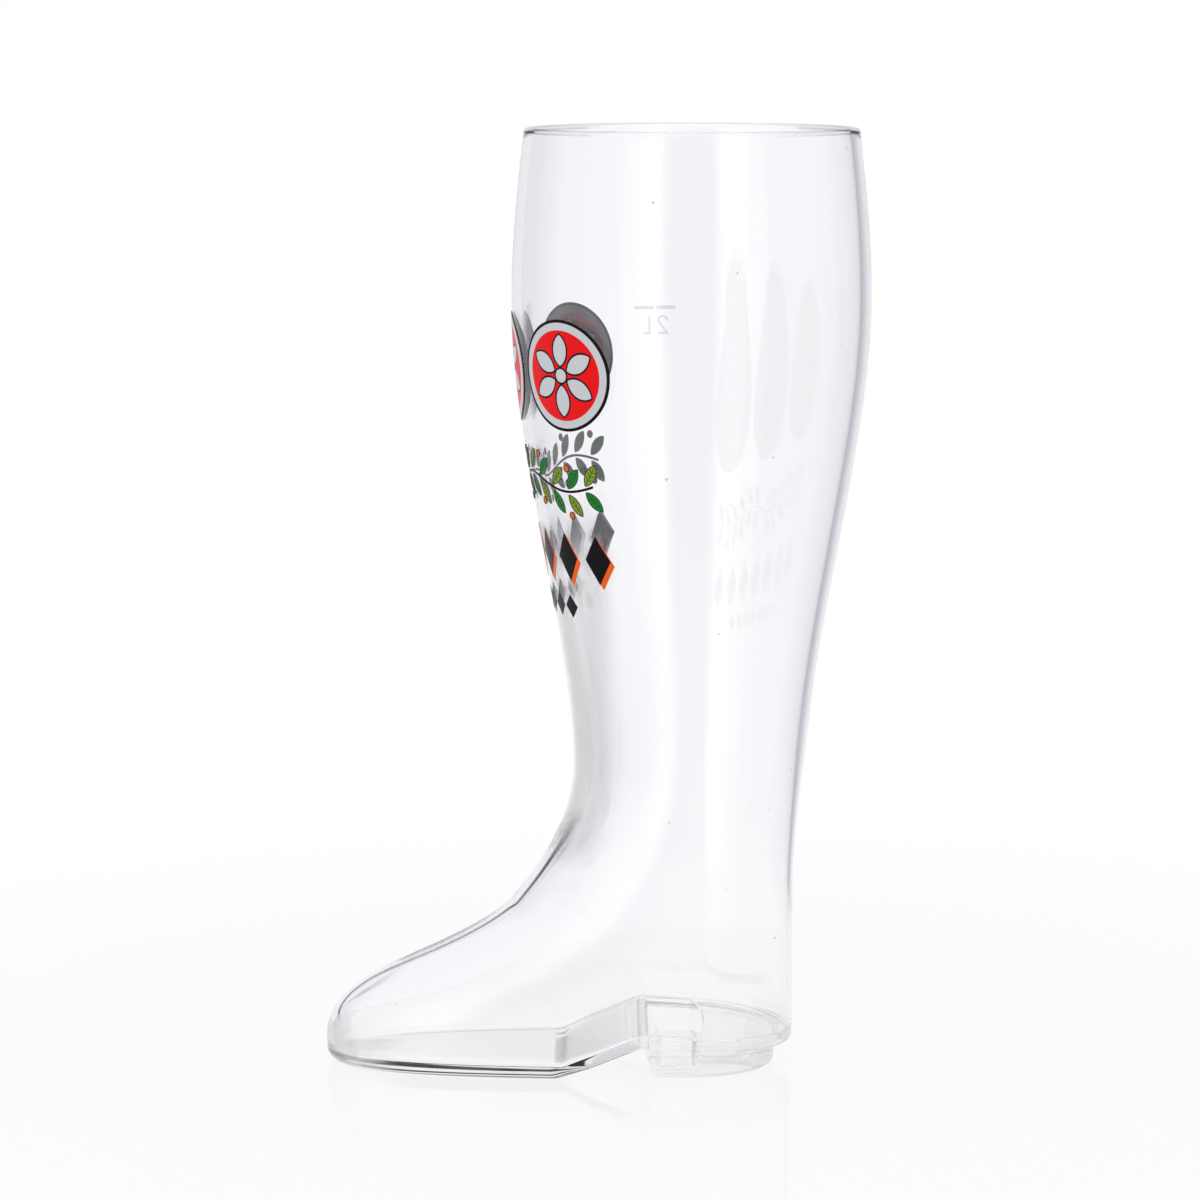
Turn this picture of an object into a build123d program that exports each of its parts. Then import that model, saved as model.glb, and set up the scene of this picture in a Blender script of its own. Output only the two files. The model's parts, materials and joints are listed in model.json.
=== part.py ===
from build123d import *
from math import atan2, cos, degrees, pi, radians, sin, sqrt
import os

# Boot-shaped drinking glass, blown in one piece, with colours fired onto the front of its shaft.
# Millimetres, +Z up. The origin is on the table under the axis of the shaft, and the toe points along -X.

# Shaft: radii of the round part above the ankle, and the lengths between them
rim_radius = 60.8
calf_radius = 65.5
shin_radius = 55.8
ankle_radius = 43.9
calf_to_rim = 62.0
shin_to_calf = 81.0
ankle_to_shin = 73.0

# Shaft: growth of the radius for each millimetre of height
rim_lean = -0.115
shin_lean = 0.175
ankle_lean = 0.105

# Foot: how far it reaches forward of the shaft's axis, from the toe up to the throat in front of the ankle
toe_reach = 135.0
vamp_reach = 106.0
instep_reach = 66.6
throat_reach = 43.0
toe_height = 9.3
toe_to_vamp = 27.8
vamp_to_instep = 22.7
instep_to_throat = 52.6
throat_to_ankle = 16.6
vamp_lean = -2.4
instep_lean = -0.85

# Foot: back, sides and the fullness of the level outline in front of the axis
back_reach = 38.1
counter_height = 62.0
foot_half_width = 39.1
shank_half_width = 39.7
side_fullness = 0.80
toe_fullness = 0.62
sole_round = 5.7

# Arch and heel under the foot
arch_front = -49.0
arch_height = 12.6
arch_round = 6.0
ledge_height = 8.7
breast_top = -18.0
breast_bottom = -13.2
heel_inset = 5.8
heel_taper = 1.2
heel_edge = 1.2
pocket_back = 4.0

# Glass thickness
rim_wall = 3.5
calf_wall = 3.9
shin_wall = 3.8
ankle_wall = 3.4
throat_wall = 6.6
instep_wall = 3.3
vamp_wall = 2.9
toe_wall = 2.9
counter_wall = 2.4
side_wall = 3.3
vamp_crown = 2.5
instep_crown = 2.1
sole_wall = 5.1
arch_wall = 3.7
heel_wall = 3.1
heel_floor = 4.1
hollow_round = 4.1
rim_round = 1.3

# Fired enamel: thickness of the films and how far they stand off the glass
enamel = 0.15
film_gap = 0.05

# Ornament on the front of the shaft: a row of roundels, each with a rosette
roundel_row_below_rim = 86.5
roundel_pitch = 44.0
roundel_radius = 20.0
roundel_line = 1.1
silver_ring = 2.7
petals = 6
petal_start = 3.5
petal_length = 11.1
petal_width = 6.0
petal_line = 0.7
boss_radius = 2.4

# Ornament: a garland under the roundels
garland_row_below_rim = 126.0
garland_half_run = 54.0
garland_waves = 2
garland_swing = 2.6
stem_width = 0.9
leaf_pairs = 12
leaf_start = 1.5
leaf_length = 9.6
leaf_width = 4.2
leaf_tilt = 50.0
berry_radius = 1.3
berry_rise = 8.6
berry_shift = 1.4

# Ornament: a row of large lozenges with a drop shadow, and a row of small ones
lozenge_row_below_rim = 153.0
lozenge_half_run = 6.3
lozenge_half_height = 9.0
lozenge_pitch = 17.4
lozenges = 7
shadow_shift = 1.6
small_row_below_rim = 171.5
small_half_run = 4.6
small_half_height = 4.3
small_pitch = 10.6
small_lozenges = 7

# Mark of the measure on the side of the calf
fill_line_below_rim = 69.8
mark_turn = 11.5
fill_line_length = 16.4
fill_line_gap = 1.1
fill_line_width = 1.3
figure_below_line = 3.2
figure_height = 6.4
figure_width = 3.6
figure_spacing = 2.4
figure_stroke = 0.8

# Heights that follow from the lengths above
vamp_height = toe_height + toe_to_vamp
instep_height = vamp_height + vamp_to_instep
throat_height = instep_height + instep_to_throat
ankle_height = throat_height + throat_to_ankle
shin_height = ankle_height + ankle_to_shin
calf_height = shin_height + shin_to_calf
boot_height = calf_height + calf_to_rim

# Share of the radius at which a cubic curve's handles draw a quarter circle
circle_fullness = 4 / 3 * (sqrt(2) - 1)

# Curves along the height: each knot is a height, a value, and the value's growth for each millimetre
shaft_knots = [
    (ankle_height, ankle_radius, ankle_lean),
    (shin_height, shin_radius, shin_lean),
    (calf_height, calf_radius, 0.0),
    (boot_height, rim_radius, rim_lean),
]
front_knots = [
    (toe_height, toe_reach, 0.0),
    (vamp_height, vamp_reach, vamp_lean),
    (instep_height, instep_reach, instep_lean),
    (throat_height, throat_reach, 0.0),
] + shaft_knots
back_knots = [(counter_height, back_reach, 0.0)] + shaft_knots
half_knots = [(toe_height, foot_half_width, 0.0), (counter_height, shank_half_width, 0.0)] + shaft_knots
side_full_knots = [(vamp_height, side_fullness, 0.0), (throat_height, circle_fullness, 0.0)]
toe_full_knots = [(vamp_height, toe_fullness, 0.0), (throat_height, circle_fullness, 0.0)]
upper_walls = [(shin_height, shin_wall), (calf_height, calf_wall), (boot_height, rim_wall)]
upper_wall_knots = [(height, wall, 0.0) for height, wall in upper_walls]
front_wall_knots = [
    (toe_height, toe_wall, 0.0),
    (vamp_height, vamp_wall, 0.0),
    (instep_height, instep_wall, 0.0),
    (throat_height, throat_wall, 0.0),
] + upper_wall_knots
back_wall_knots = [(counter_height, counter_wall, 0.0), (ankle_height, ankle_wall, 0.0)] + upper_wall_knots
side_wall_knots = [(counter_height, side_wall, 0.0), (ankle_height, ankle_wall, 0.0)] + upper_wall_knots
crown_knots = [
    (toe_height, 0.0, 0.0),
    (vamp_height, vamp_crown, 0.0),
    (instep_height, instep_crown, 0.0),
    (throat_height, 0.0, 0.0),
]


def along(knots, height):
    """Value of a curve at a height: cubic between its knots, constant beyond them."""
    if height <= knots[0][0]:
        return knots[0][1]
    for (low, start, start_lean), (high, end, end_lean) in zip(knots, knots[1:]):
        if height <= high:
            span = high - low
            t = (height - low) / span
            return (
                start * (2 * t**3 - 3 * t**2 + 1)
                + span * start_lean * (t**3 - 2 * t**2 + t)
                + end * (3 * t**2 - 2 * t**3)
                + span * end_lean * (t**3 - t**2)
            )
    return knots[-1][1]


def oval(height, back, front, half, side_full, toe_full):
    """Level outline: half an ellipse behind the axis, and a fuller half in front of it."""
    ahead, behind = side_full * front, circle_fullness * back
    toe_side, back_side = toe_full * half, circle_fullness * half
    quarters = [
        [(back, 0), (back, back_side), (behind, half), (0, half)],
        [(0, half), (-ahead, half), (-front, toe_side), (-front, 0)],
        [(-front, 0), (-front, -toe_side), (-ahead, -half), (0, -half)],
        [(0, -half), (behind, -half), (back, -back_side), (back, 0)],
    ]
    return Wire([Bezier(*[(x, y, height) for x, y in quarter]) for quarter in quarters])


def quarter_round(rise, radius):
    """How far a rounded edge draws in at a height above the flat face that it starts from."""
    if rise >= radius:
        return 0.0
    return radius - sqrt(radius**2 - (radius - rise) ** 2)


def rounded_rises(radius, steps=4):
    """Heights, above its flat face, of the sections that draw a rounded edge."""
    return [radius * (1 - cos(pi / 2 * i / steps)) for i in range(steps + 1)]


def between(heights, steps):
    """Each height of a list, with even steps from one to the next."""
    filled = []
    for low, high in zip(heights, heights[1:]):
        filled += [low + (high - low) * i / steps for i in range(steps)]
    return filled + [heights[-1]]


toe_heights = between([toe_height, vamp_height, instep_height], 6)
leg_heights = between([instep_height, throat_height, ankle_height, shin_height, calf_height], 4)[1:]
top_heights = between([calf_height, boot_height - rim_round], 4)[1:]
rim_heights = [boot_height - rise for rise in reversed(rounded_rises(rim_round))][1:]
upper_heights = toe_heights + leg_heights + top_heights + rim_heights


def outer_section(height, grow):
    return oval(
        height,
        along(back_knots, height) + grow,
        along(front_knots, height) + grow,
        along(half_knots, height) + grow,
        along(side_full_knots, height),
        along(toe_full_knots, height),
    )


def inner_section(height, grow):
    """Outline of the hollow: the outer one drawn in by the wall and let down over the foot."""
    return oval(
        height - along(crown_knots, height),
        along(back_knots, height) - along(back_wall_knots, height) + grow,
        along(front_knots, height) - along(front_wall_knots, height) + grow,
        along(half_knots, height) - along(side_wall_knots, height) + grow,
        along(side_full_knots, height),
        along(toe_full_knots, height),
    )


def rim_inset(height):
    return quarter_round(boot_height - height, rim_round)


def outer_form():
    sections = [outer_section(rise, -quarter_round(rise, sole_round)) for rise in rounded_rises(sole_round)]
    sections += [outer_section(h, -rim_inset(h)) for h in upper_heights]
    return Solid.make_loft(sections)


def inner_form():
    rises = rounded_rises(hollow_round)
    sections = [inner_section(sole_wall + rise, -quarter_round(rise, hollow_round)) for rise in rises]
    sections += [inner_section(h, rim_inset(h)) for h in upper_heights if h > sole_wall + hollow_round]
    return Solid.make_loft(sections)


def under_arch(lift):
    """Space under the arch and round the heel, as wide as the foot, with its roof raised by lift."""
    behind, below = calf_radius, -calf_radius
    ledge_slope = (arch_height - ledge_height) / (breast_top - back_reach)
    ledge_end = ledge_height + ledge_slope * (behind - back_reach) + lift
    front_foot = (arch_front, lift)
    breast_head = (breast_top, arch_height + lift)
    roof = FilletPolyline(front_foot, breast_head, (behind, ledge_end), radius=arch_round)
    rest = Polyline((behind, ledge_end), (behind, below), (arch_front, below), front_foot)
    return extrude(make_face(Plane.XZ * (roof + rest)), amount=calf_radius, both=True)


def heel_form(inset, bottom, top):
    """Heel block, narrower at the bottom, cut in front by its slanted breast, all drawn in by inset."""
    sections = []
    reach = foot_half_width - breast_top
    for height, edge in ((bottom, heel_edge), (bottom + heel_edge, 0.0), (top, 0.0)):
        draw_in = heel_inset + inset + edge + heel_taper * (1 - height / arch_height)
        half = foot_half_width - draw_in
        sections.append(oval(height, back_reach - draw_in, reach, half, side_fullness, toe_fullness))
    block = Solid.make_loft(sections, ruled=True)
    slant = (breast_top - breast_bottom) / arch_height
    low, high, ahead = -top, 2 * top, -toe_reach
    corners = [(breast_bottom + slant * z + inset, z) for z in (low, high)] + [(ahead, high), (ahead, low)]
    front = make_face(Plane.XZ * Polyline(*corners, close=True))
    return block - extrude(front, amount=calf_radius, both=True)


inside = inner_form()
raised_floor = inside & under_arch(arch_wall)
heel_block = heel_form(0.0, 0.0, arch_height + arch_wall) & under_arch(arch_wall / 2)
# The heel's hollow is a short well behind the breast, and the glass behind it is solid
pocket_top = arch_height + 2 * arch_wall
solid_rear = Box(back_reach, 2 * foot_half_width, 2 * pocket_top)
solid_rear = Pos(pocket_back + back_reach / 2, 0, pocket_top / 2) * solid_rear
heel_pocket = heel_form(heel_wall, heel_floor, pocket_top) - solid_rear
boot_glass = outer_form() - inside + raised_floor - under_arch(0.0) + heel_block - heel_pocket
hollow = inside - under_arch(arch_wall) + heel_pocket


def shaft_radius(height):
    return along(shaft_knots, height)


def film_space():
    """Layer of the enamel's thickness round the shaft, from the ankle to the rim."""
    heights = [h for h in upper_heights if ankle_height <= h <= boot_height - rim_round]
    near = [(shaft_radius(h) + film_gap, 0, h) for h in heights]
    far = [(shaft_radius(h) + film_gap + enamel, 0, h) for h in heights]
    outline = Wire([Spline(*near), Line(near[-1], far[-1]), Spline(*far), Line(near[0], far[0])])
    return revolve(Face(outline), Axis.Z)


unrolled_radius = shaft_radius(boot_height - garland_row_below_rim)


def on_front(run, height):
    """Point of the ornament on the plane X = 0, by its run round the shaft from the front and its height."""
    return Vector(0, -shaft_radius(height) * sin(run / unrolled_radius), height)


def round_face(run, height, radius):
    """Round spot of the ornament, drawn as one closed curve."""
    spot = [on_front(run + radius * cos(pi / 8 * i), height + radius * sin(pi / 8 * i)) for i in range(16)]
    return Face(Wire([Spline(*spot, periodic=True)]))


def leaf_face(run, height, angle, length, width):
    """Pointed leaf of the ornament between two arcs, from its foot along an angle in degrees."""
    forward_run, forward_height = cos(radians(angle)), sin(radians(angle))

    def at(forward, sideways):
        return on_front(
            run + forward * forward_run - sideways * forward_height,
            height + forward * forward_height + sideways * forward_run,
        )

    foot, tip = at(0, 0), at(length, 0)
    left, right = at(length / 2, width / 2), at(length / 2, -width / 2)
    return Face(Wire([ThreePointArc(foot, left, tip), ThreePointArc(tip, right, foot)]))


def lozenge_face(run, height, half_run, half_height):
    corners = [(half_run, 0), (0, half_height), (-half_run, 0), (0, -half_height)]
    return Face(Wire.make_polygon([on_front(run + r, height + h) for r, h in corners], close=True))


enamel_space = film_space()
front, far_side = (-1, 0, 0), (0, 1, 0)


def film(faces, direction):
    """Enamel wherever flat faces, pushed along a direction, meet the films' space."""
    reach = Vector(direction) * 2 * calf_radius
    return (enamel_space & Compound(children=[Solid.extrude(face, reach) for face in faces])).solids()


def turned(films, run):
    """Copies of films on the front of the shaft, moved round it by a run."""
    return [Rot(0, 0, degrees(run / unrolled_radius)) * part for part in films]


films = {}

# Roundels: silver petals with dark outlines on a red field, inside a silver ring and a dark line
roundel_height = boot_height - roundel_row_below_rim
whole = round_face(0, roundel_height, roundel_radius)
within_line = round_face(0, roundel_height, roundel_radius - roundel_line)
field = round_face(0, roundel_height, roundel_radius - roundel_line - silver_ring)
boss = round_face(0, roundel_height, boss_radius)
boss_edge = round_face(0, roundel_height, boss_radius + petal_line)
black_ring = (whole - within_line).faces()
silver_ring_face = (within_line - field).faces()
silver_petals = [boss]
petal_outlines = (boss_edge - boss).faces()
field = field - boss_edge
for k in range(petals):
    angle = 90 + 360 / petals * k
    forward_run, forward_height = cos(radians(angle)), sin(radians(angle))
    edge_start = petal_start - petal_line
    petal_at = (petal_start * forward_run, roundel_height + petal_start * forward_height)
    edge_at = (edge_start * forward_run, roundel_height + edge_start * forward_height)
    petal = leaf_face(*petal_at, angle, petal_length, petal_width)
    edge = leaf_face(*edge_at, angle, petal_length + 2 * petal_line, petal_width + 2 * petal_line)
    silver_petals.append(petal)
    petal_outlines += (edge - petal - boss_edge).faces()
    field = field - edge
roundel_faces = {
    "roundel_red_fields": field.faces(),
    "roundel_black_rings": black_ring,
    "roundel_silver_rings": silver_ring_face,
    "rosette_silver_petals": silver_petals,
    "rosette_black_outlines": petal_outlines,
}
for name, faces in roundel_faces.items():
    roundel_films = film(faces, front)
    films[name] = [part for place in (-1, 0, 1) for part in turned(roundel_films, place * roundel_pitch)]

# Garland: a waving stem with leaves on both sides and berries between their tips
garland_height = boot_height - garland_row_below_rim


def stem_point(share):
    """Run, height and slope of the stem, from -1 at one end to 1 at the other."""
    phase = share * garland_waves * pi
    slope = garland_swing * garland_waves * pi / garland_half_run * cos(phase)
    return share * garland_half_run, garland_height + garland_swing * sin(phase), slope


stem_shares = [i / (4 * garland_waves) - 1 for i in range(8 * garland_waves + 1)]
stem_sides = []
for side in (stem_width / 2, -stem_width / 2):
    stem_sides.append([on_front(run, height + side) for run, height, slope in map(stem_point, stem_shares)])
upper, lower = stem_sides
stem_ends = [Line(upper[-1], lower[-1]), Line(upper[0], lower[0])]
stem = Face(Wire([Spline(*upper), stem_ends[0], Spline(*lower), stem_ends[1]]))
films["garland_black_stem"] = film([stem], front)
green_leaves, lime_leaves, berries = [], [], []
for i in range(leaf_pairs):
    run, height, slope = stem_point((i + 0.5) / leaf_pairs * 2 - 1)
    outward = 1 if run > 0 else -1
    for side in (1, -1):
        rise_run, rise_height = cos(radians(leaf_tilt)) * outward, sin(radians(leaf_tilt)) * side
        rise_height += rise_run * slope
        angle = degrees(atan2(rise_height, rise_run))
        leaf_at = (leaf_start * rise_run, height + leaf_start * rise_height)
        leaf = leaf_face(*leaf_at, angle, leaf_length, leaf_width)
        leaves = green_leaves if (i % 2 == 0) == (side > 0) else lime_leaves
        leaves += turned(film([leaf], front), run)
        if i % 2 == 0:
            berry = round_face(0, height + side * berry_rise, berry_radius)
            berries += turned(film([berry], front), run + outward * berry_shift)
films["garland_green_leaves"] = green_leaves
films["garland_lime_leaves"] = lime_leaves
films["garland_orange_berries"] = berries

# Lozenges: the large ones with a drop shadow, the small ones plain
lozenge_height = boot_height - lozenge_row_below_rim
small_height = boot_height - small_row_below_rim
lozenge = lozenge_face(0, lozenge_height, lozenge_half_run, lozenge_half_height)
below = lozenge_face(shadow_shift, lozenge_height - shadow_shift, lozenge_half_run, lozenge_half_height)
small_lozenge = lozenge_face(0, small_height, small_half_run, small_half_height)
lozenge_rows = {
    "band_black_lozenges": ([lozenge], lozenges, lozenge_pitch),
    "band_orange_shadows": ((below - lozenge).faces(), lozenges, lozenge_pitch),
    "band_small_lozenges": ([small_lozenge], small_lozenges, small_pitch),
}
for name, (faces, count, pitch) in lozenge_rows.items():
    one = film(faces, front)
    films[name] = [part for i in range(count) for part in turned(one, (i - (count - 1) / 2) * pitch)]

# Measure: a broken line at the level of two litres, with its figure below, on the side away from the roundels
line_height = boot_height - fill_line_below_rim
mark_middle = (-shaft_radius(line_height) * sin(radians(mark_turn)), 0, line_height)
mark_plane = Plane(origin=mark_middle, x_dir=(-1, 0, 0), z_dir=(0, 1, 0))
dash_length = (fill_line_length - fill_line_gap) / 2
dash_step = (dash_length + fill_line_gap) / 2
dashes = []
for side in (-1, 1):
    dashes += (mark_plane * Pos(side * dash_step, 0) * Rectangle(dash_length, fill_line_width)).faces()
half_figure = figure_width / 2
bow_height = figure_height - half_figure
two_lines = Curve() + [
    ThreePointArc((-half_figure, bow_height), (0, figure_height), (half_figure, bow_height)),
    Polyline((half_figure, bow_height), (-half_figure, 0), (half_figure, 0)),
]
litre_lines = Polyline((-half_figure / 2, figure_height), (-half_figure / 2, 0), (half_figure, 0))
figure_step = (figure_width + figure_spacing) / 2
figure_drop = -figure_below_line - figure_height
figures = []
for place, lines in ((-figure_step, two_lines), (figure_step, litre_lines)):
    figures += (mark_plane * Pos(place, figure_drop) * trace(lines, figure_stroke)).faces()

films["fill_line"] = film(dashes, far_side)
films["capacity_figure"] = film(figures, far_side)

os.makedirs("parts", exist_ok=True)
export_step(boot_glass, "parts/boot_glass.step")
for name, solids in films.items():
    export_step(Compound(children=solids), f"parts/{name}.step")

below_line = Pos(0, 0, line_height - boot_height) * Box(4 * toe_reach, 4 * toe_reach, 2 * boot_height)
held_to_line = (hollow & below_line).volume / 1e6
held_to_brim = hollow.volume / 1e6
print(f"height {boot_height:.1f} mm, glass {boot_glass.volume / 1e3:.0f} cubic centimetres")
print(f"holds {held_to_line:.3f} l to the line, {held_to_brim:.3f} l to the brim")
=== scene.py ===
import json
from math import pi, radians, sqrt

import bmesh
import bpy
import numpy as np
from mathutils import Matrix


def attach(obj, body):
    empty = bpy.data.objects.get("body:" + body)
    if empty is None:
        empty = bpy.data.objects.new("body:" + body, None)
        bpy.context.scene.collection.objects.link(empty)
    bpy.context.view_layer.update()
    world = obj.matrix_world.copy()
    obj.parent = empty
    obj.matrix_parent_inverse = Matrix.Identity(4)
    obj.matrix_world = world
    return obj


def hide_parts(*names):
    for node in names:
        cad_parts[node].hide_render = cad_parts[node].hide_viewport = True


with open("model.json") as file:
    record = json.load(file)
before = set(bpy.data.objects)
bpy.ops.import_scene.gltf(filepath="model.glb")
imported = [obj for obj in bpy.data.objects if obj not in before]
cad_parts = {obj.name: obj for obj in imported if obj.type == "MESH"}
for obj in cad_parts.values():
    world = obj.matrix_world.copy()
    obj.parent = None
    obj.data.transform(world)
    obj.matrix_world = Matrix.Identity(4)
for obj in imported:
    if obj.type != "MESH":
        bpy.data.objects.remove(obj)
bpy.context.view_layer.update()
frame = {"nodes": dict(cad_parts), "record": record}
nodes = frame["nodes"]
print("frame:", len(nodes), "nodes")

circleFull = 4 / 3 * (sqrt(2) - 1)  # reach of a curve's handles in a quarter of a circle

# Boot glass, in millimetres. A knot is one of the heights, the value there and its growth per millimetre.
boot = {
    "heights": {
        "toe": 9.3, "vamp": 37.1, "instep": 59.8, "counter": 62.0, "throat": 112.4,
        "ankle": 129.0, "shin": 202.0, "calf": 283.0, "rim": 345.0,
    },
    "shaft": [("ankle", 43.9, 0.105), ("shin", 55.8, 0.175), ("calf", 65.5, 0.0), ("rim", 60.8, -0.115)],
    "shaftWall": [("shin", 3.8, 0.0), ("calf", 3.9, 0.0), ("rim", 3.5, 0.0)],
    # reach and wall of the foot to the front, to the back and to each side, below the shaft's own
    "front": [("toe", 135.0, 0.0), ("vamp", 106.0, -2.4), ("instep", 66.6, -0.85), ("throat", 43.0, 0.0)],
    "back": [("counter", 38.1, 0.0)],
    "half": [("toe", 39.1, 0.0), ("counter", 39.7, 0.0)],
    "frontWall": [("toe", 2.9, 0.0), ("vamp", 2.9, 0.0), ("instep", 3.3, 0.0), ("throat", 6.6, 0.0)],
    "backWall": [("counter", 2.4, 0.0), ("ankle", 3.4, 0.0)],
    "halfWall": [("counter", 3.3, 0.0), ("ankle", 3.4, 0.0)],
    # fullness of the front half of a section, and how much lower the hollow is under the foot's top
    "sideFull": [("vamp", 0.80, 0.0), ("throat", circleFull, 0.0)],
    "toeFull": [("vamp", 0.62, 0.0), ("throat", circleFull, 0.0)],
    "crown": [("toe", 0.0, 0.0), ("vamp", 2.5, 0.0), ("instep", 2.1, 0.0), ("throat", 0.0, 0.0)],
    "rimRound": 1.3,
    "archFront": -49.0,
    "archHeight": 12.6,
    "archBlend": 5.0,  # rise over which the sole's rounding turns into the arch's
    "ledgeHeight": 8.7,
    "breastTop": -18.0,
    "breastBottom": -13.2,
    "heelInset": 5.8,
    "heelTaper": 1.2,
    "heelEdge": 1.2,
    # steps of the mesh: in the quarters of a section, up the wall, round the edges and from side to side
    "backSteps": 50, "frontSteps": 74,
    "levels": [(26.0, 13), (60.0, 30), (130.0, 36)], "topSteps": 62,
    "soleSteps": 8, "rimSteps": 5, "ledgeSteps": 4, "heelSteps": 6, "edgeSteps": 4, "centreSteps": 24,
    "weld": 2e-6, "sliver": 1e-7, "sharpAngle": 38.0,
}
for name in ("front", "back", "half"):
    boot[name] += boot["shaft"]
    boot[name + "Wall"] += boot["shaftWall"]
backReach, footHalf = boot["back"][0][1], boot["half"][0][1]
sideFull, toeFull = boot["sideFull"][0][1], boot["toeFull"][0][1]
archRun = (boot["breastTop"] - boot["archFront"]) / boot["archHeight"]  # along X for each millimetre up
breastRun = (boot["breastTop"] - boot["breastBottom"]) / boot["archHeight"]

# The two skins: roundings along the sole, the arch and the heel's mouth, height over the arch and the sole,
# and the heel's inset, floor and reach to the back
outerSkin = {
    "inner": False, "soleRound": 5.7, "archRound": 1.4, "mouth": 0.9,
    "lift": 0.0, "floor": 0.0, "inset": 0.0, "base": 0.0, "back": backReach,
}
innerSkin = {
    "inner": True, "soleRound": 2.4, "archRound": 1.2, "mouth": 0.6,
    "lift": 3.7, "floor": 4.7, "inset": 3.1, "base": 4.0, "back": 13.5,
}


def along(knots, height):
    # smooth curve through knots
    value = np.full(np.shape(height), knots[0][1])
    for (below, start, startLean), (above, end, endLean) in zip(knots, knots[1:]):
        low = boot["heights"][below]
        span = boot["heights"][above] - low
        t = np.clip((height - low) / span, 0, 1)
        value += start * (2 * t**3 - 3 * t**2) + span * startLean * (t**3 - 2 * t**2 + t)
        value += end * (3 * t**2 - 2 * t**3) + span * endLean * (t**3 - t**2)
    return value


def bends(t):
    # shares of a curve's two ends and two handles
    return (1 - t) ** 3, 3 * t * (1 - t) ** 2, 3 * t * t * (1 - t), t**3


def oval(around, back, front, half, sideFull, toeFull):
    # around runs from 0 at the back over 1 at the side to 2 at the toe
    rear = around <= 1
    b0, b1, b2, b3 = bends(np.where(rear, around, around - 1))
    x = np.where(rear, back * (b0 + b1 + circleFull * b2), -front * (sideFull * b1 + b2 + b3))
    y = half * np.where(rear, circleFull * b1 + b2 + b3, b0 + b1 + toeFull * b2)
    return x, y


def skinPoint(skin, around, z, grow):
    # point of a skin at a height, with the section drawn out by grow
    h = z
    if skin["inner"]:
        for _ in range(8):
            h = z + along(boot["crown"], h)
    wall = 1.0 if skin["inner"] else 0.0
    reach = [along(boot[n], h) - wall * along(boot[n + "Wall"], h) + grow for n in ("back", "front", "half")]
    x, y = oval(around, *reach, along(boot["sideFull"], h), along(boot["toeFull"], h))
    return np.stack(np.broadcast_arrays(x, y, z), -1)


def roof(skin, x):
    # underside of the foot: flat sole, incline of the arch, ledge falling towards the back
    fall = (boot["archHeight"] - boot["ledgeHeight"]) / (backReach - boot["breastTop"])
    rise = np.minimum((x - boot["archFront"]) / archRun, boot["archHeight"] - (x - boot["breastTop"]) * fall)
    return np.maximum(rise + skin["lift"], skin["floor"])


def lowEdge(skin, around):
    # height and rounding at the foot of each column, found by stepping to where the section meets the roof
    rise = np.full(np.shape(around), skin["floor"])
    for _ in range(30):
        share = np.clip((rise - skin["floor"]) / boot["archBlend"], 0, 1)
        rounding = skin["soleRound"] + (skin["archRound"] - skin["soleRound"]) * share
        rise = 0.5 * rise + 0.5 * roof(skin, skinPoint(skin, around, rise, -rounding)[..., 0])
    return rise, rounding


def columnsThrough(skin, places):
    # columns round half a section, with one of them through each place of the lower edge
    rear, ahead = np.linspace(0, 1, boot["backSteps"] + 1), np.linspace(1, 2, boot["frontSteps"] + 1)
    around = np.concatenate([rear, ahead[1:]])
    fine = np.linspace(0.3, 1.9, 4001)  # the places all lie between these shares
    rise, rounding = lowEdge(skin, fine)
    x = skinPoint(skin, fine, rise, -rounding)[:, 0]
    marks = []
    for place in places:
        at = np.interp(-place, -x, fine)
        index = int(np.argmin(np.abs(around - at)))
        around[index] = at
        marks.append(index)
    return around, marks


def heelPoint(skin, share, z, extra):
    # outline of the heel at a height, from the back (0) to the breast (1), drawn in by extra
    drawIn = boot["heelInset"] + skin["inset"] + extra + boot["heelTaper"] * (1 - z / boot["archHeight"])
    back, half = skin["back"] - drawIn, footHalf - drawIn
    breast = boot["breastBottom"] + breastRun * z + skin["inset"] + extra
    x = back + (breast - back) * share
    b0, b1, b2, b3 = bends(np.linspace(0, 0.7, 800))  # past this share the outline is ahead of the breast
    ahead = (footHalf - boot["breastTop"]) * (sideFull * b1 + b2 + b3)
    wide = b0 + b1 + toeFull * b2
    y = half * np.where(x > 0, np.sqrt(np.clip(1 - (x / back) ** 2, 0, 1)), np.interp(-x, ahead, wide))
    return np.stack(np.broadcast_arrays(x, y, z), -1)


def mirrored(points):
    return points * np.array([1.0, -1.0, 1.0])


def across(edge):
    # level rows from each edge point to its mirror image
    steps = boot["centreSteps"]
    row = np.repeat(edge[:, None, :], steps + 1, 1)
    row[..., 1] *= np.linspace(1, -1, steps + 1)
    return row


def quarterTurn(steps):
    return np.linspace(0, pi / 2, steps + 1)


def skinWall(skin, around):
    # the wall's columns, from the rounding of the sole to that of the rim
    rise, rounding = lowEdge(skin, around)
    rows = []
    for a in quarterTurn(boot["soleSteps"]):
        rows.append(skinPoint(skin, around, rise + rounding * (1 - np.cos(a)), -rounding * (1 - np.sin(a))))
    rim, rimRound = boot["heights"]["rim"], boot["rimRound"]
    low = rise + rounding
    for high, steps in boot["levels"] + [(rim - rimRound, boot["topSteps"])]:
        for share in np.linspace(0, 1, steps + 1)[1:]:
            rows.append(skinPoint(skin, around, low + (high - low) * share, 0.0))
        low = np.full(around.shape, high)
    side = 1.0 if skin["inner"] else -1.0
    for a in quarterTurn(boot["rimSteps"])[1:]:
        z = np.full(around.shape, rim - rimRound * (1 - np.sin(a)))
        rows.append(skinPoint(skin, around, z, side * rimRound * (1 - np.cos(a))))
    return np.stack(rows, 1)


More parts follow.
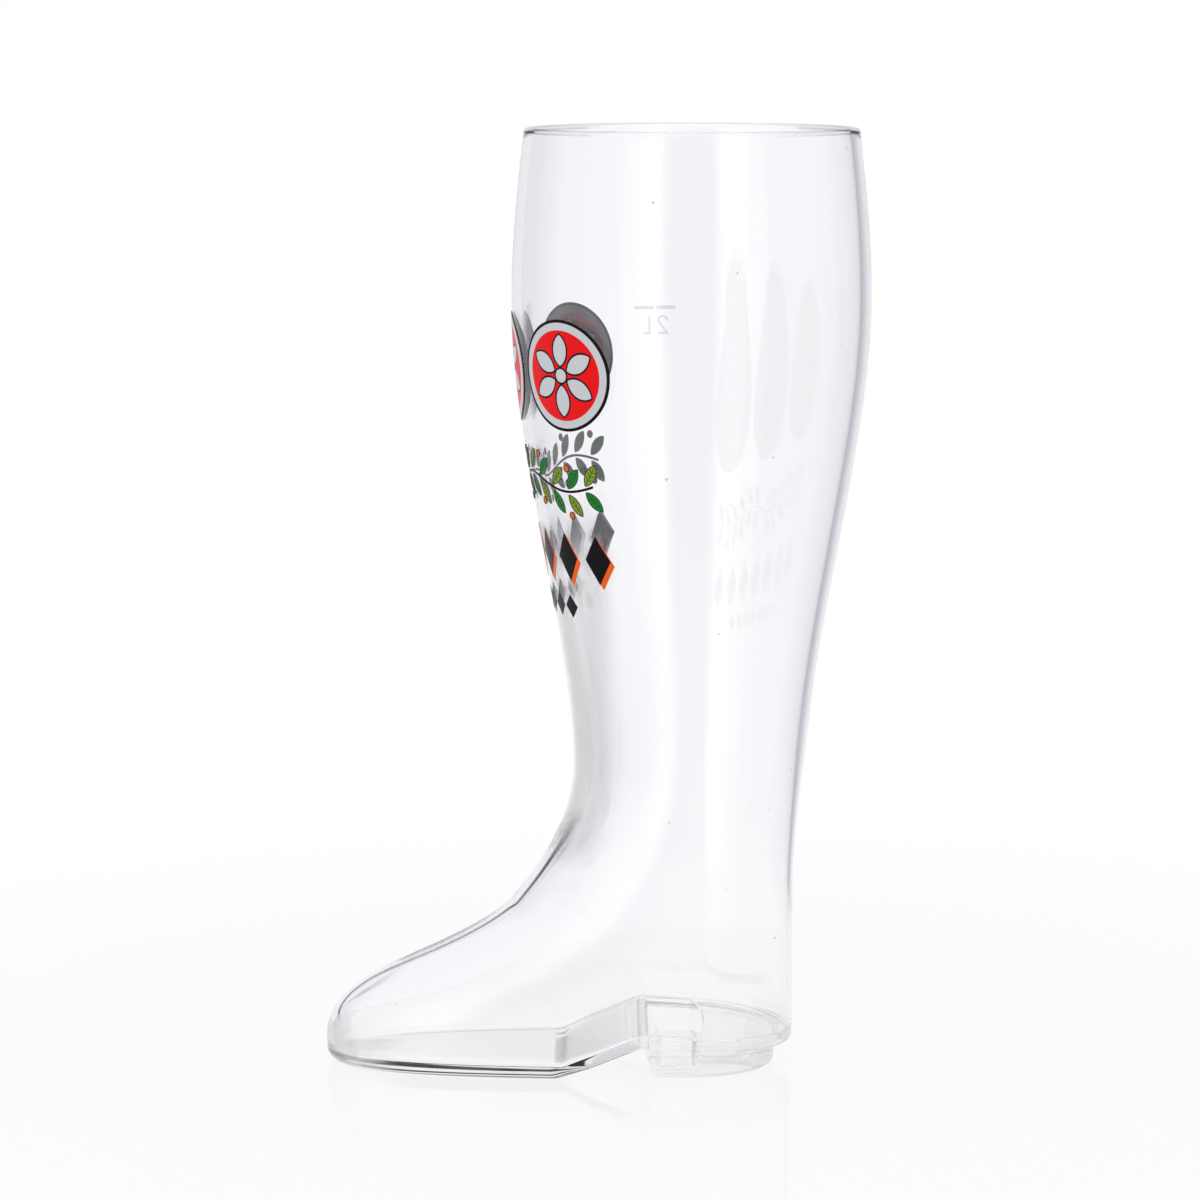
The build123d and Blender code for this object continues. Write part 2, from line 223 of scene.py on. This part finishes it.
def skinHeel(skin, edge):
    # ledge over the heel, and under it the heel's mouth rounding, wall and edge rounding
    last, mouth = boot["ledgeSteps"], skin["mouth"]
    share = (edge[0, 0] - edge[:, 0]) / (edge[0, 0] - edge[-1, 0])
    top = roof(skin, heelPoint(skin, share, edge[:, 2], -mouth)[:, 0])
    heelTop = heelPoint(skin, share, top, -mouth)
    ledge = edge[:, None] + (heelTop - edge)[:, None] * np.linspace(0, 1, last + 1)[None, :, None]
    ledge[..., 2] = roof(skin, ledge[..., 0])
    ledge[:, 0] = edge
    ledge[:, -1] = heelTop
    drop = [heelTop]
    for a in quarterTurn(boot["edgeSteps"])[1:]:
        drop.append(heelPoint(skin, share, top - mouth * (1 - np.cos(a)), -mouth * (1 - np.sin(a))))
    bottom = skin["base"] + boot["heelEdge"]
    for s in np.linspace(0, 1, boot["heelSteps"] + 1)[1:]:
        drop.append(heelPoint(skin, share, top - mouth + (bottom - top + mouth) * s, 0.0))
    for a in quarterTurn(boot["edgeSteps"])[1:]:
        z = np.full(share.shape, bottom - boot["heelEdge"] * np.sin(a))
        drop.append(heelPoint(skin, share, z, boot["heelEdge"] * (1 - np.cos(a))))
    return ledge, np.stack(drop, 1)


def skinPatches(skin):
    breastLine = boot["breastTop"] + skin["inset"] - skin["mouth"] + skin["lift"] * breastRun
    crease = boot["archFront"] + (skin["floor"] - skin["lift"]) * archRun
    around, (mark, _) = columnsThrough(skin, (breastLine, crease))
    wall = skinWall(skin, around)
    edge = wall[:, 0]
    ledge, heelWall = skinHeel(skin, edge[: mark + 1])
    patches = [wall, mirrored(wall), ledge, mirrored(ledge), heelWall, mirrored(heelWall)]
    patches += [across(heelWall[:, -1]), across(heelWall[mark])]  # bottom and breast of the heel
    inward = np.linspace(1, ledge[mark, -1, 1] / edge[mark, 1], ledge.shape[1])
    same = np.ones(ledge.shape[1])
    flank = edge[mark:, None] * np.stack([same, inward, same], -1)[None]
    flank[0] = ledge[mark]
    patches += [flank, mirrored(flank), across(flank[:, -1])]
    return patches, wall[:, -1]


def meshFromPatches(name, patches):
    points, faces, count = [], [], 0
    for patch in patches:
        m, n = patch.shape[:2]
        index = count + np.arange(m * n).reshape(m, n)
        quads = np.stack([index[:-1, :-1], index[1:, :-1], index[1:, 1:], index[:-1, 1:]], -1)
        points.append(patch.reshape(-1, 3))
        faces.append(quads.reshape(-1, 4))
        count += m * n
    mesh = bpy.data.meshes.new(name)
    mesh.from_pydata((np.concatenate(points) * 0.001).tolist(), [], np.concatenate(faces).tolist())
    form = bmesh.new()
    form.from_mesh(mesh)
    bmesh.ops.remove_doubles(form, verts=form.verts, dist=boot["weld"])
    bmesh.ops.dissolve_degenerate(form, edges=form.edges, dist=boot["sliver"])
    bmesh.ops.recalc_face_normals(form, faces=form.faces)
    openEdges = sum(1 for e in form.edges if len(e.link_faces) != 2)
    triangles = sum(len(f.verts) - 2 for f in form.faces)
    volume = form.calc_volume(signed=True)
    print(name, "open edges", openEdges, "triangles", triangles, "volume", round(volume * 1e6, 1), "cm3")
    form.to_mesh(mesh)
    form.free()
    mesh.shade_smooth()
    mesh.set_sharp_from_angle(angle=radians(boot["sharpAngle"]))
    return mesh


outerPatches, outerTop = skinPatches(outerSkin)
innerPatches, innerTop = skinPatches(innerSkin)
rimBand = np.stack([outerTop, 0.5 * (outerTop + innerTop), innerTop], 1)
glassMesh = meshFromPatches("bootGlass", outerPatches + innerPatches + [rimBand, mirrored(rimBand)])
bootGlass = bpy.data.objects.new("bootGlass", glassMesh)
bpy.context.scene.collection.objects.link(bootGlass)


# One small class wraps a node socket, so that the trees' maths reads as sums
class Feed:
    def __init__(self, tree, socket):
        self.tree, self.socket = tree, socket

    def node(self, kind, inputs, output=0, stops=(), **settings):
        made = self.tree.nodes.new(kind)
        for name, value in settings.items():
            setattr(made, name, value)
        if stops:
            elements = made.color_ramp.elements  # a new ramp has its end stops already
            for place, colour in stops[1:-1]:
                elements.new(place).color = colour
            elements[0].color, elements[-1].color = stops[0][1], stops[-1][1]
        for name, value in inputs.items():
            if isinstance(value, Feed):
                self.tree.links.new(value.socket, made.inputs[name])
            else:
                made.inputs[name].default_value = value
        return Feed(self.tree, made.outputs[output])

    def beside(self, output):
        # another output of the same node
        return Feed(self.tree, self.socket.node.outputs[output])

    def maths(self, operation, *others):
        return self.node("ShaderNodeMath", dict(enumerate((self,) + others)), operation=operation)

    def vector(self, operation, *others, output=0):
        inputs = dict(enumerate((self,) + others))
        return self.node("ShaderNodeVectorMath", inputs, output, operation=operation)

    def __add__(self, other):
        return self.maths("ADD", other)

    def __sub__(self, other):
        return self.maths("SUBTRACT", other)

    def __rsub__(self, other):
        return self * -1.0 + other

    def __mul__(self, other):
        return self.maths("MULTIPLY", other)

    def __truediv__(self, other):
        return self.maths("DIVIDE", other)

    def __rtruediv__(self, other):
        return self.maths("POWER", -1.0) * other

    __radd__ = __add__
    __rmul__ = __mul__

    def step(self, low, high):
        limits = {"From Min": low, "From Max": high, "To Min": 0.0, "To Max": 1.0}
        return self.node("ShaderNodeMapRange", {"Value": self, **limits}, interpolation_type="SMOOTHSTEP")

    def past(self, at, soft):
        return self.step(at - soft, at + soft)

    def between(self, low, high, soft):
        return self.past(low, soft) * (1.0 - self.past(high, soft))

    def mix(self, first, second):
        # self is the share of the second colour
        return self.node("ShaderNodeMix", {"Factor": self, 6: first, 7: second}, output=2, data_type="RGBA")

    def mixShaders(self, first, second):
        # self is the share of the second shader
        return self.node("ShaderNodeMixShader", {0: self, 1: first, 2: second})

    def axisWay(self):
        # level way from the shaft's axis to a place
        return self.vector("MULTIPLY", (1.0, 1.0, 0.0)).vector("NORMALIZE")


white = (1.0, 1.0, 1.0, 1.0)


def newMaterial(name):
    material = bpy.data.materials.new(name)
    material.use_nodes = True
    tree = material.node_tree
    tree.nodes.clear()
    place = Feed(tree, tree.nodes.new("ShaderNodeTexCoord").outputs["Object"])
    return material, place, tree.nodes.new("ShaderNodeOutputMaterial")


def rayKinds(tree):
    paths = tree.nodes.new("ShaderNodeLightPath")
    return [Feed(tree, paths.outputs[f"Is {kind} Ray"]) for kind in ("Camera", "Glossy", "Transmission")]


def connect(feed, node, name):
    feed.tree.links.new(feed.socket, node.inputs[name])


# Glass: clear with a breath of green where it is thick, and softly uneven as blown glass is.
# In some zones a share of the light goes straight through, because bounces run out there and leave black.
glass = {
    "ior": 1.52, "tint": (0.90, 0.92, 0.90, 1.0), "density": 18.0,
    "streakWidth": 0.010, "streakLength": 0.20, "wave": 0.000005,
    "seamPlace": -0.0025, "seamWidth": 0.0005, "seamHeight": 0.00003,
    "rim": {"clear": 0.76, "from": 0.3432, "soft": 0.0004},
    "low": {"to": 0.014, "soft": 0.004},  # height of the heel's and toe's zones
    "heel": {"clear": 0.42, "from": -0.019, "soft": 0.002},
    "toe": {"clear": 0.30, "to": -0.112, "soft": 0.010},
    "shin": {"clear": 0.70, "to": -0.033, "soft": 0.006, "low": 0.084, "high": 0.196, "softUp": 0.010},
}
glassMaterial, place, out = newMaterial("clearGlass")
stretch = tuple(1 / glass[n] for n in ("streakWidth", "streakWidth", "streakLength"))
streaks = place.vector("MULTIPLY", stretch)
streakNoise = {"Vector": streaks, "Scale": 1.0, "Detail": 1.0, "Roughness": 0.4}
waves = streaks.node("ShaderNodeTexNoise", streakNoise)
placeX = place.node("ShaderNodeSeparateXYZ", {0: place})
placeZ = placeX.beside("Z")
offSeam = (placeX - glass["seamPlace"]) / glass["seamWidth"]
seam = 1.0 / (1.0 + offSeam * offSeam)
height = waves * glass["wave"] + seam * seam * glass["seamHeight"]
uneven = height.node("ShaderNodeBump", {"Height": height, "Strength": 1.0, "Distance": 1.0})
rim, low, heel, toe, shin = (glass[n] for n in ("rim", "low", "heel", "toe", "shin"))
rimZone = placeZ.past(rim["from"], rim["soft"])
lowZone = 1.0 - placeZ.past(low["to"], low["soft"])
heelZone = placeX.past(heel["from"], heel["soft"])
toeZone = 1.0 - placeX.past(toe["to"], toe["soft"])
shinZone = 1.0 - placeX.past(shin["to"], shin["soft"])
shinZone = shinZone * placeZ.between(shin["low"], shin["high"], shin["softUp"])
lowClear = lowZone * (heelZone * heel["clear"] + toeZone * toe["clear"])
cover = 1.0 - (rimZone * rim["clear"] + lowClear + shinZone * shin["clear"])
shader = place.node("ShaderNodeBsdfPrincipled", {
    "Base Color": white, "Roughness": 0.0, "IOR": glass["ior"], "Transmission Weight": 1.0,
    "Normal": uneven, "Alpha": cover,
})
connect(shader, out, "Surface")
absorbed = place.node("ShaderNodeVolumeAbsorption", {"Color": glass["tint"], "Density": glass["density"]})
connect(absorbed, out, "Volume")
bootGlass.data.materials.append(glassMaterial)

# Fired enamels: printed through a fine mesh, with the side facing into the glass painted darker as painted
# shade
enamel = {
    "colours": {
        "enamel_red": (0.86, 0.003, 0.006, 1.0),
        "enamel_black": (0.003, 0.003, 0.004, 1.0),
        "enamel_silver": (0.60, 0.62, 0.65, 1.0),
        "enamel_green": (0.004, 0.24, 0.016, 1.0),
        "enamel_lime": (0.23, 0.36, 0.016, 1.0),
        "enamel_orange": (0.86, 0.125, 0.006, 1.0),
        "enamel_white": (0.92, 0.92, 0.92, 1.0),
    },
    "grainSize": 0.00045, "grain": 0.16, "patchSize": 0.006, "patch": 0.10, "patchDetail": 3.0,
    "darkest": 0.45, "roughness": (0.24, 0.40), "shine": 0.10, "relief": 0.000012, "whiteCover": 0.22,
    "under": 0.30,  # share of its colour kept on the inward side, which is painted shade
    "backTurn": (-0.3, 0.1),  # how far a face turns from the axis where the painted shade gives way to colour
}
slotOf = {part["node"]: part["material_slot"] for part in frame["record"]["subparts"]}


def dimmed(colour, share):
    return tuple(c * share for c in colour[:3]) + (1.0,)


for slot, colour in enamel["colours"].items():
    material, place, out = newMaterial(slot)
    plain = slot == "enamel_white"
    grainCells = {"Vector": place, "Scale": 1 / enamel["grainSize"]}
    grain = place.node("ShaderNodeTexVoronoi", grainCells, feature="F1")
    patchNoise = {"Vector": place, "Scale": 1 / enamel["patchSize"], "Detail": enamel["patchDetail"]}
    patch = place.node("ShaderNodeTexNoise", patchNoise)
    shade = (grain * enamel["grain"] + patch * enamel["patch"]).maths("MINIMUM", 1.0)
    front = shade.mix(colour, dimmed(colour, enamel["darkest"]))
    # painted shade: the inward faces of each film, seen through the glass, get a darker copy of its colour
    shadedBack = colour if plain else dimmed(colour, enamel["under"])
    outside = place.beside("Normal").vector("DOT_PRODUCT", place.axisWay(), output=1)
    smoothest, roughest = enamel["roughness"]
    height = grain * enamel["relief"]
    shader = place.node("ShaderNodeBsdfPrincipled", {
        "Base Color": outside.step(*enamel["backTurn"]).mix(shadedBack, front),
        "Roughness": patch * (roughest - smoothest) + smoothest,
        "Normal": height.node("ShaderNodeBump", {"Height": height, "Distance": 1.0}),
        "Specular IOR Level": enamel["shine"],
        "Alpha": enamel["whiteCover"] if plain else 1.0,
    })
    connect(shader, out, "Surface")
    for node, nodeSlot in slotOf.items():
        if nodeSlot == slot:
            nodes[node].data.materials.clear()
            nodes[node].data.materials.append(material)
print("enamels:", len(enamel["colours"]), "colours on", len(slotOf) - 1, "films")


# Geometry Nodes: a tree is named with its inputs, closed with its material and grown on a mesh
def newTree(name, sockets):
    tree = bpy.data.node_groups.new(name, "GeometryNodeTree")
    tree.interface.new_socket("Geometry", in_out="INPUT", socket_type="NodeSocketGeometry")
    for label, kind in sockets.items():
        tree.interface.new_socket(label, in_out="INPUT", socket_type=kind)
    tree.interface.new_socket("Geometry", in_out="OUTPUT", socket_type="NodeSocketGeometry")
    given = tree.nodes.new("NodeGroupInput").outputs
    return tree, {socket.name: Feed(tree, socket) for socket in given if socket.name}


def closeTree(made, material):
    real = made.node("GeometryNodeRealizeInstances", {"Geometry": made})
    done = real.node("GeometryNodeSetMaterial", {"Geometry": real, "Material": material})
    connect(done, made.tree.nodes.new("NodeGroupOutput"), 0)


def grown(mesh, tree, values):
    # the plain mesh that a tree makes out of another
    carrier = bpy.data.objects.new("carrier", mesh)
    bpy.context.scene.collection.objects.link(carrier)
    modifier = carrier.modifiers.new("tree", "NODES")
    modifier.node_group = tree
    for socket in tree.interface.items_tree:
        if socket.in_out == "INPUT" and socket.name in values:
            modifier[socket.identifier] = values[socket.name]
    graph = bpy.context.evaluated_depsgraph_get()
    made = bpy.data.meshes.new_from_object(carrier.evaluated_get(graph), depsgraph=graph)
    bpy.data.objects.remove(carrier)
    return made


def joined(name, meshes):
    # one mesh out of several, all in the first one's material
    form = bmesh.new()
    for mesh in meshes:
        form.from_mesh(mesh)
    for face in form.faces:
        face.material_index = 0
    whole = bpy.data.meshes.new(name)
    form.to_mesh(whole)
    form.free()
    for material in meshes[0].materials:
        whole.materials.append(material)
    return whole


# Black line work of the garland: a line along the outer edge of each film, and veins on each leaf
lineWork = {
    "leaves": ["garland_green_leaves", "garland_lime_leaves"],
    "berries": ["garland_orange_berries"],
    "edgeRadius": 0.00020, "veinRadius": 0.00013, "sides": 6, "weld": 1e-6, "stand": 0.20,
    "ribEnds": (0.06, 0.92), "ribPoints": 9,
    "sideVeins": (0.26, 0.44, 0.62), "sideReach": 0.62, "sideLean": 0.9, "sidePoints": 4,
    "widthSpan": 0.1,  # share of the length on each side of a vein, in which the leaf's width is taken
}
linesTree, given = newTree("printedLines", {"Line Radius": "NodeSocketFloat", "All Edges": "NodeSocketBool"})
film = given["Geometry"]
film = film.node("GeometryNodeMergeByDistance", {"Geometry": film, "Distance": lineWork["weld"]})
facing = film.node("GeometryNodeInputNormal", {})
outward = film.node("GeometryNodeInputPosition", {}).axisWay()
outer = facing.vector("DOT_PRODUCT", outward, output=1).maths("GREATER_THAN", 0.5)
outerShare = outer.node("GeometryNodeFieldOnDomain", {0: outer}, domain="FACE", data_type="FLOAT")
outerEdge = outerShare.maths("COMPARE", 0.5, 0.3)  # an outer face on one side of the edge only
picked = outerEdge.maths("MAXIMUM", given["All Edges"])
runs = film.node("GeometryNodeMeshToCurve", {"Mesh": film, "Selection": picked})
ringSize = {"Resolution": lineWork["sides"], "Radius": given["Line Radius"]}
ring = film.node("GeometryNodeCurvePrimitiveCircle", ringSize)
tube = runs.node("GeometryNodeCurveToMesh", {"Curve": runs, "Profile Curve": ring, "Fill Caps": True})
closeTree(tube, bpy.data.materials["enamel_black"])


def leavesOf(mesh):
    # points of each leaf of a film, in millimetres
    form = bmesh.new()
    form.from_mesh(mesh)
    bmesh.ops.remove_doubles(form, verts=form.verts, dist=lineWork["weld"])
    leaves, seen = [], set()
    for first in form.verts:
        if first in seen:
            continue
        leaf, queue = [], [first]
        seen.add(first)
        while queue:
            vert = queue.pop()
            leaf.append(vert.co * 1000)
            for edge in vert.link_edges:
                other = edge.other_vert(vert)
                if other not in seen:
                    seen.add(other)
                    queue.append(other)
        leaves.append(np.array(leaf))
    form.free()
    return leaves


def leafVeins(mesh):
    # rib and side veins of each leaf, drawn on the unrolled shaft between the leaf's two tips
    points, edges = [], []
    for leaf in leavesOf(mesh):
        radius = np.hypot(leaf[:, 0], leaf[:, 1]).mean()
        drawn = np.stack([np.arctan2(leaf[:, 1], -leaf[:, 0]) * radius, leaf[:, 2]], 1)
        gaps = np.linalg.norm(drawn[:, None] - drawn[None], axis=2)
        a, b = np.unravel_index(np.argmax(gaps), gaps.shape)
        start, run, length = drawn[a], drawn[b] - drawn[a], gaps[a, b]
        forward, sideways = run / length, np.array([-run[1], run[0]]) / length
        ribStart, ribEnd = (start + run * share for share in lineWork["ribEnds"])
        lines = [np.linspace(ribStart, ribEnd, lineWork["ribPoints"])]
        spots = (drawn - start) @ run / length**2
        widths = np.abs((drawn - start) @ sideways)
        for at in lineWork["sideVeins"]:
            root = start + run * at
            reach = widths[np.abs(spots - at) < lineWork["widthSpan"]].max() * lineWork["sideReach"]
            for way in (-1, 1):
                tip = root + way * sideways * reach + forward * reach * lineWork["sideLean"]
                lines.append(np.linspace(root, tip, lineWork["sidePoints"]))
        for line in lines:
            distance = along(boot["half"], line[:, 1]) + lineWork["stand"]
            turn = line[:, 0] / radius
            edges += [(len(points) + k, len(points) + k + 1) for k in range(len(line) - 1)]
            points += np.stack([-distance * np.cos(turn), distance * np.sin(turn), line[:, 1]], 1).tolist()
    drawing = bpy.data.meshes.new("veins")
    drawing.from_pydata((np.array(points) * 0.001).tolist(), edges, [])
    return drawing


edgeLines = {"Line Radius": lineWork["edgeRadius"], "All Edges": False}
veinLines = {"Line Radius": lineWork["veinRadius"], "All Edges": True}
films = lineWork["leaves"] + lineWork["berries"]
drawnLines = [grown(nodes[node].data.copy(), linesTree, edgeLines) for node in films]
drawnLines += [grown(leafVeins(nodes[node].data), linesTree, veinLines) for node in lineWork["leaves"]]
garlandLines = bpy.data.objects.new("garlandLines", joined("garlandLines", drawnLines))
garlandLines.data.shade_smooth()
bpy.context.scene.collection.objects.link(garlandLines)
print("garland lines:", len(garlandLines.data.polygons), "faces")

# Seeds: small drawn-out bubbles in the wall, as blown glass has them
seeds = {
    "perSquareMetre": 150.0, "seed": 7, "depth": -0.0013,
    "small": 0.00012, "large": 0.00034, "drawnOut": 1.5, "subdivisions": 2,
}
seedInputs = {"Density": "NodeSocketFloat", "Seed": "NodeSocketInt", "Depth": "NodeSocketFloat"}
seedTree, given = newTree("glassSeeds", seedInputs)
skin = given["Geometry"]
strewing = {"Mesh": skin, "Density": given["Density"], "Seed": given["Seed"]}
spread = skin.node("GeometryNodeDistributePointsOnFaces", strewing)
wallWay = spread.beside("Normal")
inward = wallWay.node("ShaderNodeVectorMath", {0: wallWay, "Scale": given["Depth"]}, operation="SCALE")
sunk = spread.node("GeometryNodeSetPosition", {"Geometry": spread, "Offset": inward})
ball = sunk.node("GeometryNodeMeshIcoSphere", {"Radius": 1.0, "Subdivisions": seeds["subdivisions"]})
smooth = ball.node("GeometryNodeSetShadeSmooth", {"Geometry": ball})
turnedIn = smooth.node("GeometryNodeFlipFaces", {"Mesh": smooth})
sizeRange = {2: seeds["small"], 3: seeds["large"], "Seed": given["Seed"]}
size = sunk.node("FunctionNodeRandomValue", sizeRange, output=1, data_type="FLOAT")
drawnSize = size.node("ShaderNodeCombineXYZ", {0: size, 1: size, 2: size * seeds["drawnOut"]})
strewn = sunk.node("GeometryNodeInstanceOnPoints", {"Points": sunk, "Instance": turnedIn, "Scale": drawnSize})
closeTree(strewn, glassMaterial)
seedValues = {"Density": seeds["perSquareMetre"], "Seed": seeds["seed"], "Depth": seeds["depth"]}
bubbles = grown(bootGlass.data.copy(), seedTree, seedValues)
facesEach = 20 * 4 ** (seeds["subdivisions"] - 1)
print("seeds:", len(bubbles.polygons) // facesEach)
bootGlass.data = joined("bootGlass", [bootGlass.data, bubbles])

# Floor: a small white glossy table, which fades into the white round it
table = {
    "reach": 0.60, "drop": 0.0004, "colour": (0.985, 0.985, 0.985, 1.0),
    "glow": 0.93, "through": (0.970, 0.970, 0.980, 1.0),  # share of white, and its colour through glass, darker there as painted shade
    "gloss": 0.40, "glossIor": 1.45, "roughness": 0.05,
    "fadeFrom": 0.22, "fadeTo": 0.50, "rearFrom": 0.215, "rearTo": 0.25,
}
floorMesh = bpy.data.meshes.new("floor")
square = ((-1, -1), (1, -1), (1, 1), (-1, 1))
corners = [(x * table["reach"], y * table["reach"], -table["drop"]) for x, y in square]
floorMesh.from_pydata(corners, [], [(0, 1, 2, 3)])
floor = bpy.data.objects.new("floor", floorMesh)
bpy.context.scene.collection.objects.link(floor)
floorMaterial, place, out = newMaterial("floorWhite")
byCamera, byGloss, byGlass = rayKinds(place.tree)
lit = place.node("ShaderNodeBsdfPrincipled", {"Base Color": table["colour"], "Specular IOR Level": 0.0})
# painted shade: the floor seen through the glass glows a little darker and bluer than white
glow = place.node("ShaderNodeEmission", {"Color": byGlass.mix(white, table["through"])})
direct = byCamera.maths("MAXIMUM", byGloss).maths("MAXIMUM", byGlass)
surface = (direct * table["glow"]).mixShaders(lit, glow)
grazing = place.node("ShaderNodeFresnel", {"IOR": table["glossIor"]})
gloss = place.node("ShaderNodeBsdfGlossy", {"Roughness": table["roughness"]})
surface = (grazing * table["gloss"]).mixShaders(surface, gloss)
rear = place.node("ShaderNodeSeparateXYZ", {0: place}, output=1).step(table["rearFrom"], table["rearTo"])
rear = rear * (1.0 - byCamera)  # the table's rear end shows through the glass only
gone = place.vector("LENGTH", output=1).step(table["fadeFrom"], table["fadeTo"]).maths("MAXIMUM", rear)
connect(gone.mixShaders(surface, place.node("ShaderNodeBsdfTransparent", {})), out, "Surface")
floorMesh.materials.append(floorMaterial)
print("floor: table", table["reach"] * 2, "m across")

# World: plain white light, while glass and gloss see a studio with soft lamps in front and greyer walls.
# Azimuth 0 is straight behind the glass, 90 on its right, and the value is the brightness there.
studio = {
    "peak": 1.6,
    "round": [
        (-180, 0.52), (-163, 0.52), (-155, 1.45), (-146, 1.40), (-112, 0.85), (-98, 0.70), (-84, 0.75),
        (-70, 0.60), (-46, 0.60), (-37, 0.85), (-24, 0.91), (-8, 0.97), (2, 1.0), (10, 1.0), (22, 0.88),
        (30, 0.66), (36, 0.50), (46, 0.65), (60, 0.60), (80, 0.80), (100, 0.80), (116, 0.62), (128, 0.62),
        (133, 0.90), (143, 0.95), (148, 1.40), (159, 1.40), (169, 0.52), (180, 0.52),
    ],
    "ceiling": 0.92, "ceilingFrom": 0.35, "ceilingTo": 0.62,
    # darker patches behind the glass: the backdrop's upper part, and a thin black edge on its left
    "cards": [
        {
            "dark": 0.80, "left": -42.0, "right": 6.0, "blur": 5.0,
            "low": 0.10, "high": 0.25, "blurUp": 0.03,
        },
        {
            "dark": 0.02, "left": -60.0, "right": -10.0, "blur": 2.0,
            "low": 0.12, "high": 0.185, "blurUp": 0.012,
        },
    ],
    "tints": ((0.985, -0.03), (0.982, -0.05), (1.012, 0.12)),  # red, green and blue, and what darkness adds
}


def lavender(value):
    # grey that leans to lavender as it darkens, as a share of the peak
    lean = max(0.0, 1.0 - value)
    tints = [base + lean * more for base, more in studio["tints"]]
    return tuple(value / studio["peak"] * tint for tint in tints) + (1.0,)


world = bpy.data.worlds.new("studio")
bpy.context.scene.world = world
world.use_nodes = True
tree = world.node_tree
tree.nodes.clear()
way = Feed(tree, tree.nodes.new("ShaderNodeTexCoord").outputs["Generated"])
wayX = way.node("ShaderNodeSeparateXYZ", {0: way})
wayY, wayZ = wayX.beside("Y"), wayX.beside("Z")
byCamera, byGloss, byGlass = rayKinds(tree)
turn = wayX.maths("ARCTAN2", wayY) / (2 * pi) + 0.5
stops = [((azimuth + 180) / 360, lavender(value)) for azimuth, value in studio["round"]]
walls = turn.node("ShaderNodeValToRGB", {0: turn}, stops=stops)
ceiling = wayZ.step(studio["ceilingFrom"], studio["ceilingTo"])
room = ceiling.mix(walls, lavender(studio["ceiling"]))
degrees = (turn - 0.5) * 360.0
for card in studio["cards"]:
    level = degrees.between(card["left"], card["right"], card["blur"])
    upright = wayZ.between(card["low"], card["high"], card["blurUp"])
    room = (level * upright * byGlass).mix(room, lavender(card["dark"]))
brighter = room.vector("MULTIPLY", (studio["peak"],) * 3)
seen = byCamera.mix(byGloss.maths("MAXIMUM", byGlass).mix(white, brighter), white)
light = seen.node("ShaderNodeBackground", {"Color": seen, "Strength": 1.0})
connect(light, tree.nodes.new("ShaderNodeOutputWorld"), "Surface")
print("world: studio of", len(stops), "stops")

# Camera: fitted to the outline in the photo
viewpoint = {
    "lens": 129.05, "sensor": 36.0, "far": 50.0,
    "place": (-0.0333, -1.5659, 0.3904), "down": 7.936,
}
camera = bpy.data.cameras.new("camera")
camera.lens = viewpoint["lens"]
camera.sensor_width = viewpoint["sensor"]
camera.clip_end = viewpoint["far"]
cameraObject = bpy.data.objects.new("camera", camera)
cameraObject.location = viewpoint["place"]
cameraObject.rotation_euler = (radians(90 - viewpoint["down"]), 0.0, 0.0)
bpy.context.scene.collection.objects.link(cameraObject)
bpy.context.scene.camera = cameraObject
bpy.context.scene.view_settings.view_transform = "Standard"
print("camera: lens", viewpoint["lens"], "mm")

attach(garlandLines, "root")
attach(bootGlass, "root")
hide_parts("boot_glass")
